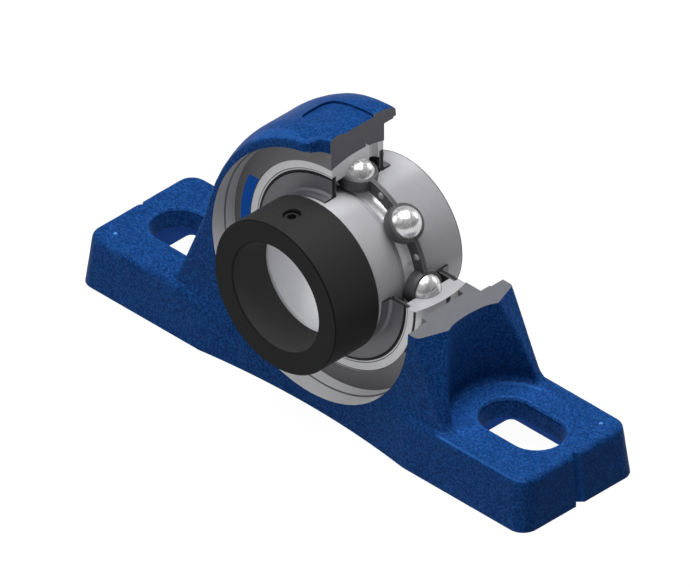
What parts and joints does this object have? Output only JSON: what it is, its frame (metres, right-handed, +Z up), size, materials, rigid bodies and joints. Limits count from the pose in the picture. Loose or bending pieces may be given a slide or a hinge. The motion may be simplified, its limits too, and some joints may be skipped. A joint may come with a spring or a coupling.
{
  "type": "pillow block bearing",
  "caption": "Cutaway pillow block bearing: cast two-bolt foot housing with a quarter removed, self-aligning ball bearing insert and eccentric locking collar.",
  "frame": {"origin": "on the mounting plane straight below the bearing centre", "axes": "+X along the base towards the foot on the cut-away side, +Y along the shaft axis away from the locking collar, +Z up"},
  "size_m": [0.21, 0.0659, 0.1029],
  "materials": {
    "blue_paint": "textured satin paint on cast iron",
    "ring_steel": "ground bearing steel",
    "ball_steel": "polished",
    "cage_steel": "dark pressed sheet steel",
    "pin_steel": "bright",
    "insert_steel": "bright sheet steel",
    "flinger_steel": "dark grey sheet steel",
    "seal_rubber": "matte black",
    "black_oxide": "black oxide"
  },
  "bodies": {
    "housing": {"housing": "blue_paint"},
    "locating_pin": {"locating_pin": "pin_steel"},
    "outer_ring": {"outer_ring": "ring_steel", "front_seal": "seal_rubber", "rear_seal": "seal_rubber", "front_seal_insert": "insert_steel", "rear_seal_insert": "insert_steel"},
    "inner_ring": {"inner_ring": "ring_steel", "front_flinger": "flinger_steel", "rear_flinger": "flinger_steel"},
    "cage": {"cage_front_half": "cage_steel", "cage_rear_half": "cage_steel", "cage_rivet_1": "pin_steel", "cage_rivet_2": "pin_steel", "cage_rivet_3": "pin_steel", "cage_rivet_4": "pin_steel", "cage_rivet_5": "pin_steel", "cage_rivet_6": "pin_steel", "cage_rivet_7": "pin_steel", "cage_rivet_8": "pin_steel"},
    "ball_1": {"ball_1": "ball_steel"},
    "ball_2": {"ball_2": "ball_steel"},
    "ball_3": {"ball_3": "ball_steel"},
    "ball_4": {"ball_4": "ball_steel"},
    "ball_5": {"ball_5": "ball_steel"},
    "ball_6": {"ball_6": "ball_steel"},
    "ball_7": {"ball_7": "ball_steel"},
    "ball_8": {"ball_8": "ball_steel"},
    "locking_collar": {"locking_collar": "black_oxide"},
    "set_screw": {"set_screw": "black_oxide"}
  },
  "joints": [
    {"name": "align_pitch", "type": "hinge", "parent": "housing", "child": "locating_pin", "pos_m": [0, 0, 0.0512], "axis": [1, 0, 0], "range_deg": [-3, 3]},
    {"name": "align_yaw", "type": "hinge", "parent": "locating_pin", "child": "outer_ring", "pos_m": [0, 0, 0.0512], "axis": [0, 0, 1], "range_deg": [-3, 3]},
    {"name": "shaft_spin", "type": "hinge", "parent": "outer_ring", "child": "inner_ring", "pos_m": [0, 0, 0.0512], "axis": [0, 1, 0], "continuous": true},
    {"name": "cage_orbit", "type": "hinge", "parent": "outer_ring", "child": "cage", "pos_m": [0, 0, 0.0512], "axis": [0, 1, 0], "continuous": true},
    {"name": "ball_1_spin", "type": "hinge", "parent": "cage", "child": "ball_1", "pos_m": [0, 0, 0.0822], "axis": [0, 1, 0], "continuous": true},
    {"name": "ball_2_spin", "type": "hinge", "parent": "cage", "child": "ball_2", "pos_m": [0.02192, 0, 0.07312], "axis": [0, 1, 0], "continuous": true},
    {"name": "ball_3_spin", "type": "hinge", "parent": "cage", "child": "ball_3", "pos_m": [0.031, 0, 0.0512], "axis": [0, 1, 0], "continuous": true},
    {"name": "ball_4_spin", "type": "hinge", "parent": "cage", "child": "ball_4", "pos_m": [0.02192, 0, 0.02928], "axis": [0, 1, 0], "continuous": true},
    {"name": "ball_5_spin", "type": "hinge", "parent": "cage", "child": "ball_5", "pos_m": [0, 0, 0.0202], "axis": [0, 1, 0], "continuous": true},
    {"name": "ball_6_spin", "type": "hinge", "parent": "cage", "child": "ball_6", "pos_m": [-0.02192, 0, 0.02928], "axis": [0, 1, 0], "continuous": true},
    {"name": "ball_7_spin", "type": "hinge", "parent": "cage", "child": "ball_7", "pos_m": [-0.031, 0, 0.0512], "axis": [0, 1, 0], "continuous": true},
    {"name": "ball_8_spin", "type": "hinge", "parent": "cage", "child": "ball_8", "pos_m": [-0.02192, 0, 0.07312], "axis": [0, 1, 0], "continuous": true},
    {"name": "collar_turn", "type": "hinge", "parent": "inner_ring", "child": "locking_collar", "pos_m": [0, 0, 0.0512], "axis": [0, 1, 0], "range_deg": [-28, 28]},
    {"name": "set_screw_travel", "type": "slide", "parent": "locking_collar", "child": "set_screw", "axis": [-0.0698, 0, 0.9976], "range_m": [0, 0.0035]}
  ],
  "couplings": [
    {"joint": "cage_orbit", "follows": "shaft_spin", "ratio": 0.40323},
    {"joint": "ball_1_spin", "follows": "shaft_spin", "ratio": -2.4866},
    {"joint": "ball_2_spin", "follows": "shaft_spin", "ratio": -2.4866},
    {"joint": "ball_3_spin", "follows": "shaft_spin", "ratio": -2.4866},
    {"joint": "ball_4_spin", "follows": "shaft_spin", "ratio": -2.4866},
    {"joint": "ball_5_spin", "follows": "shaft_spin", "ratio": -2.4866},
    {"joint": "ball_6_spin", "follows": "shaft_spin", "ratio": -2.4866},
    {"joint": "ball_7_spin", "follows": "shaft_spin", "ratio": -2.4866},
    {"joint": "ball_8_spin", "follows": "shaft_spin", "ratio": -2.4866}
  ]
}
